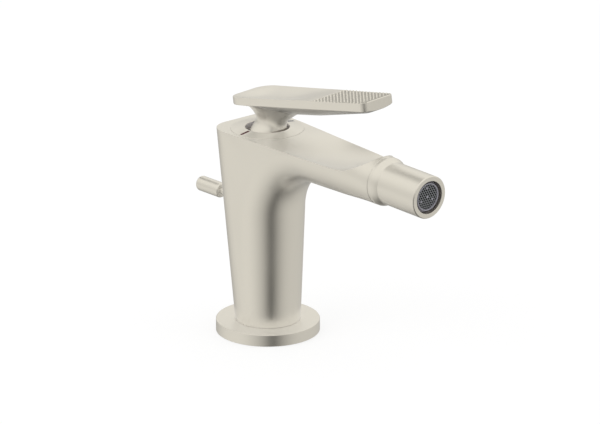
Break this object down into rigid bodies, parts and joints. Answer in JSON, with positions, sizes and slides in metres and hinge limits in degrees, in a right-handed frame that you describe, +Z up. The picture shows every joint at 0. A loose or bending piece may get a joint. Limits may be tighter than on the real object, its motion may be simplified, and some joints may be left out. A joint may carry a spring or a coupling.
{
  "type": "bidet mixer",
  "caption": "Single-lever bidet mixer with a tapered column, scooped spout, swivelling ball-joint nozzle, turning and tilting lever and a rear pull knob.",
  "frame": {"origin": "centre of the base disc on the deck plane, which is also the centre of the tap hole", "axes": "+Z up, along the column and the lever's turning axis; spout and nozzle towards -Y; hot side -X"},
  "size_m": [0.054, 0.1739, 0.1405],
  "materials": {
    "satin_nickel": "satin nickel plating on cast brass, warm grey",
    "raw_brass": "turned brass",
    "steel": "stainless steel",
    "black_rubber": "matt nitrile rubber",
    "white_plastic": "moulded acetal",
    "blue_plastic": "moulded acetal",
    "grey_plastic": "moulded grey plastic",
    "dark_screen": "moulded dark slate plastic",
    "alumina": "lapped alumina",
    "red_enamel": "dark red enamel",
    "blue_enamel": "dark blue enamel"
  },
  "bodies": {
    "body": {"body_casting": "satin_nickel", "base_escutcheon": "satin_nickel", "base_gasket": "black_rubber", "cover_ring": "satin_nickel", "hot_mark": "red_enamel", "cold_mark": "blue_enamel", "cartridge_nut": "raw_brass", "cartridge_housing": "white_plastic", "cartridge_base": "white_plastic", "cartridge_seals": "black_rubber", "fixed_disc": "alumina", "spout_collar": "satin_nickel", "rod_guide_bush": "white_plastic"},
    "carrier": {"spindle_carrier": "white_plastic", "spindle_pin": "steel"},
    "disc": {"moving_disc": "alumina", "disc_carrier": "blue_plastic"},
    "lever": {"lever_handle": "satin_nickel", "cartridge_spindle": "raw_brass", "lever_screw": "steel", "screw_cap": "satin_nickel"},
    "ball_seat": {"ball_seat_ring": "white_plastic"},
    "nozzle": {"nozzle_ball": "raw_brass", "nozzle_sleeve": "satin_nickel", "aerator_seal": "black_rubber", "aerator_housing": "grey_plastic", "aerator_screen": "dark_screen"},
    "pull_rod": {"pull_rod": "raw_brass", "knob_shank": "satin_nickel", "pull_knob": "satin_nickel"}
  },
  "joints": [
    {"name": "temperature", "type": "hinge", "parent": "body", "child": "carrier", "pos_m": [0, 0, 0.1003], "axis": [0, 0, 1], "range_deg": [-52, 38]},
    {"name": "flow", "type": "hinge", "parent": "carrier", "child": "lever", "pos_m": [0, 0, 0.1003], "axis": [-0.9925, -0.1219, 0], "range_deg": [0, 20]},
    {"name": "disc_shift", "type": "slide", "parent": "carrier", "child": "disc", "axis": [0.1219, -0.9925, 0], "range_m": [0, 0.00204]},
    {"name": "nozzle_turn", "type": "hinge", "parent": "body", "child": "ball_seat", "pos_m": [0, -0.0871, 0.10312], "axis": [0, -0.9997, -0.0262], "continuous": true},
    {"name": "nozzle_tilt", "type": "hinge", "parent": "ball_seat", "child": "nozzle", "pos_m": [0, -0.0871, 0.10312], "axis": [1, 0, 0], "range_deg": [-12, 12]},
    {"name": "waste_pull", "type": "slide", "parent": "body", "child": "pull_rod", "axis": [0, 0, 1], "range_m": [0, 0.012]}
  ],
  "couplings": [
    {"joint": "disc_shift", "follows": "flow", "m_per_rad": 0.00583}
  ]
}
